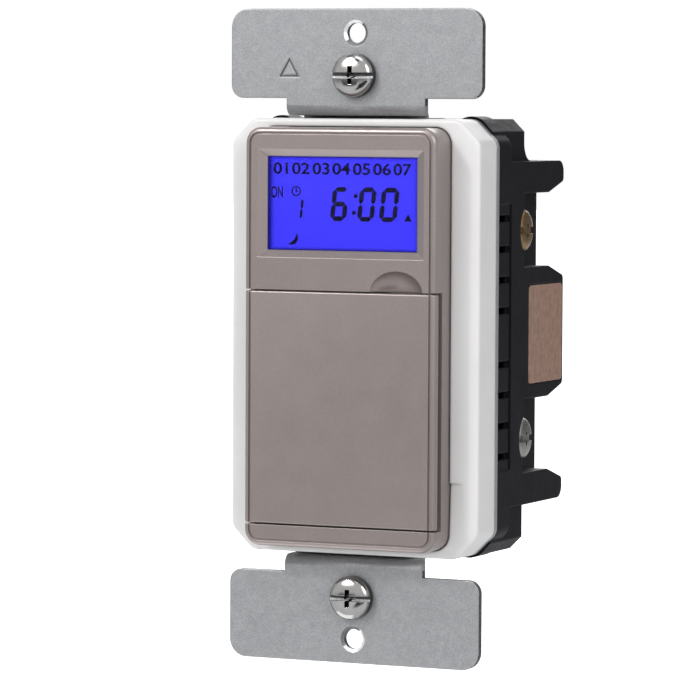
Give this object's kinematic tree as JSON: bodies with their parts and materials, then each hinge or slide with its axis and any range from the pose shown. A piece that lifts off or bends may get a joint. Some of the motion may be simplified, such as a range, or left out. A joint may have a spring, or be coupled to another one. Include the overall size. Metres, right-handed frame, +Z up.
{
  "type": "timer light switch",
  "caption": "Wall-box timer light switch with a backlit display, a hinged key door, a steel strap and side screw terminals.",
  "frame": {"origin": "middle of the two cover-plate screw holes, on the back face of the mounting strap's ears, which is the wall's surface", "axes": "+X to the right of someone facing the switch, +Y into the wall, +Z up"},
  "size_m": [0.0438, 0.0409, 0.1046],
  "materials": {
    "bezel_finish": "satin nickel-coloured paint on moulded plastic",
    "clear_window": "clear glossy window",
    "lcd_glass": "backlit blue display with dark segments",
    "light_guide": "clear light guide",
    "white_plastic": "satin moulding",
    "contact_rubber": "matt",
    "frame_plastic": "satin white moulding",
    "galvanised_steel": "galvanised, dull with fine spangle",
    "circuit_board": "green solder mask",
    "tact_body": "moulded",
    "black_plastic": "moulded",
    "cell_steel": "polished cell case",
    "insulating_sheet": "translucent sheet",
    "relay_case": "moulded",
    "copper_winding": "enamelled copper wire",
    "plated_steel": "bright nickel plate",
    "capacitor_case": "moulded case",
    "capacitor_can": "sleeved can",
    "varistor_coating": "dipped coating",
    "resistor_coating": "lacquered",
    "housing_plastic": "satin black moulding",
    "label_foil": "satin brown label, blank",
    "brass": "satin",
    "nickel": "nickel plate",
    "green_zinc": "green-dyed zinc plate",
    "washer_card": "pressed fibre",
    "key_rubber": "matt grey"
  },
  "bodies": {
    "switch_body": {"front_bezel": "bezel_finish", "lcd_window": "clear_window", "lcd_panel": "lcd_glass", "lcd_backlight": "light_guide", "lcd_holder": "white_plastic", "contact_strips": "contact_rubber", "front_frame": "frame_plastic", "mounting_strap": "galvanised_steel", "control_board": "circuit_board", "tact_switches": "tact_body", "battery_cup": "black_plastic", "backup_battery": "cell_steel", "control_chips": "black_plastic", "board_header": "black_plastic", "insulating_sheet": "insulating_sheet", "power_board": "circuit_board", "relay_cover": "relay_case", "relay_coil": "copper_winding", "film_capacitor": "capacitor_case", "electrolytic_capacitor": "capacitor_can", "varistor": "varistor_coating", "resistors": "resistor_coating", "rear_housing": "housing_plastic", "blank_label": "label_foil", "assembly_screws": "plated_steel", "line_terminal": "brass", "neutral_terminal": "nickel", "load_terminal": "brass", "ground_terminal": "green_zinc"},
    "door_leaf": {"door": "bezel_finish"},
    "program_button": {"program_key": "key_rubber", "program_plunger": "black_plastic"},
    "clock_button": {"clock_key": "key_rubber", "clock_plunger": "black_plastic"},
    "day_button": {"day_key": "key_rubber", "day_plunger": "black_plastic"},
    "random_button": {"random_key": "key_rubber", "random_plunger": "black_plastic"},
    "hour_button": {"hour_key": "key_rubber", "hour_plunger": "black_plastic"},
    "minute_button": {"minute_key": "key_rubber", "minute_plunger": "black_plastic"},
    "on_off_button": {"on_off_key": "key_rubber", "on_off_plunger": "black_plastic"},
    "reset_button": {"reset_key": "key_rubber", "reset_plunger": "black_plastic"},
    "line_clamp_plate": {"line_clamp": "brass"},
    "line_terminal_screw": {"line_screw": "brass"},
    "neutral_clamp_plate": {"neutral_clamp": "nickel"},
    "neutral_terminal_screw": {"neutral_screw": "nickel"},
    "load_clamp_plate": {"load_clamp": "brass"},
    "load_terminal_screw": {"load_screw": "brass"},
    "ground_clamp_plate": {"ground_clamp": "green_zinc"},
    "ground_terminal_screw": {"ground_screw": "green_zinc"},
    "top_washer": {"top_screw_washer": "washer_card"},
    "top_captive_screw": {"top_box_screw": "plated_steel"},
    "bottom_washer": {"bottom_screw_washer": "washer_card"},
    "bottom_captive_screw": {"bottom_box_screw": "plated_steel"},
    "armature_lever": {"relay_armature": "plated_steel"}
  },
  "joints": [
    {"name": "door_hinge", "type": "hinge", "parent": "switch_body", "child": "door_leaf", "pos_m": [-0.01545, -0.0059, -0.01123], "axis": [0, 0, -1], "range_deg": [0, 110]},
    {"name": "program_press", "type": "slide", "parent": "switch_body", "child": "program_button", "axis": [0, 1, 0], "range_m": [0, 0.0003], "stiffness_N_per_m": 4000},
    {"name": "clock_press", "type": "slide", "parent": "switch_body", "child": "clock_button", "axis": [0, 1, 0], "range_m": [0, 0.0003], "stiffness_N_per_m": 4000},
    {"name": "day_press", "type": "slide", "parent": "switch_body", "child": "day_button", "axis": [0, 1, 0], "range_m": [0, 0.0003], "stiffness_N_per_m": 4000},
    {"name": "random_press", "type": "slide", "parent": "switch_body", "child": "random_button", "axis": [0, 1, 0], "range_m": [0, 0.0003], "stiffness_N_per_m": 4000},
    {"name": "hour_press", "type": "slide", "parent": "switch_body", "child": "hour_button", "axis": [0, 1, 0], "range_m": [0, 0.0003], "stiffness_N_per_m": 4000},
    {"name": "minute_press", "type": "slide", "parent": "switch_body", "child": "minute_button", "axis": [0, 1, 0], "range_m": [0, 0.0003], "stiffness_N_per_m": 4000},
    {"name": "on_off_press", "type": "slide", "parent": "switch_body", "child": "on_off_button", "axis": [0, 1, 0], "range_m": [0, 0.0003], "stiffness_N_per_m": 4000},
    {"name": "reset_press", "type": "slide", "parent": "switch_body", "child": "reset_button", "axis": [0, 1, 0], "range_m": [0, 0.0003], "stiffness_N_per_m": 4000},
    {"name": "line_clamp_slide", "type": "slide", "parent": "switch_body", "child": "line_clamp_plate", "axis": [1, 0, 0], "range_m": [0, 0.00159]},
    {"name": "line_screw_turn", "type": "hinge", "parent": "line_clamp_plate", "child": "line_terminal_screw", "pos_m": [0.0188, 0.0201, 0.01685], "axis": [1, 0, 0], "range_deg": [0, 720]},
    {"name": "neutral_clamp_slide", "type": "slide", "parent": "switch_body", "child": "neutral_clamp_plate", "axis": [1, 0, 0], "range_m": [0, 0.00159]},
    {"name": "neutral_screw_turn", "type": "hinge", "parent": "neutral_clamp_plate", "child": "neutral_terminal_screw", "pos_m": [0.0188, 0.0201, -0.01685], "axis": [1, 0, 0], "range_deg": [0, 720]},
    {"name": "load_clamp_slide", "type": "slide", "parent": "switch_body", "child": "load_clamp_plate", "axis": [-1, 0, 0], "range_m": [0, 0.00159]},
    {"name": "load_screw_turn", "type": "hinge", "parent": "load_clamp_plate", "child": "load_terminal_screw", "pos_m": [-0.0188, 0.0201, 0.01685], "axis": [-1, 0, 0], "range_deg": [0, 720]},
    {"name": "ground_clamp_slide", "type": "slide", "parent": "switch_body", "child": "ground_clamp_plate", "axis": [-1, 0, 0], "range_m": [0, 0.00159]},
    {"name": "ground_screw_turn", "type": "hinge", "parent": "ground_clamp_plate", "child": "ground_terminal_screw", "pos_m": [-0.0188, 0.0201, -0.01685], "axis": [-1, 0, 0], "range_deg": [0, 720]},
    {"name": "top_screw_slide", "type": "slide", "parent": "switch_body", "child": "top_washer", "axis": [0, -1, 0], "range_m": [0, 0.0047]},
    {"name": "top_screw_spin", "type": "hinge", "parent": "top_washer", "child": "top_captive_screw", "pos_m": [0, -0.0012, 0.04167], "axis": [0, -1, 0], "continuous": true},
    {"name": "bottom_screw_slide", "type": "slide", "parent": "switch_body", "child": "bottom_washer", "axis": [0, -1, 0], "range_m": [0, 0.0047]},
    {"name": "bottom_screw_spin", "type": "hinge", "parent": "bottom_washer", "child": "bottom_captive_screw", "pos_m": [0, -0.0012, -0.04167], "axis": [0, -1, 0], "continuous": true},
    {"name": "armature_pull", "type": "hinge", "parent": "switch_body", "child": "armature_lever", "pos_m": [0, 0.0201, 0.00599], "axis": [1, 0, 0], "range_deg": [0, 2], "stiffness_Nm_per_rad": 0.1}
  ],
  "couplings": [
    {"joint": "line_screw_turn", "follows": "line_clamp_slide", "rad_per_m": 7915.8},
    {"joint": "neutral_screw_turn", "follows": "neutral_clamp_slide", "rad_per_m": 7915.8},
    {"joint": "load_screw_turn", "follows": "load_clamp_slide", "rad_per_m": 7915.8},
    {"joint": "ground_screw_turn", "follows": "ground_clamp_slide", "rad_per_m": 7915.8}
  ]
}
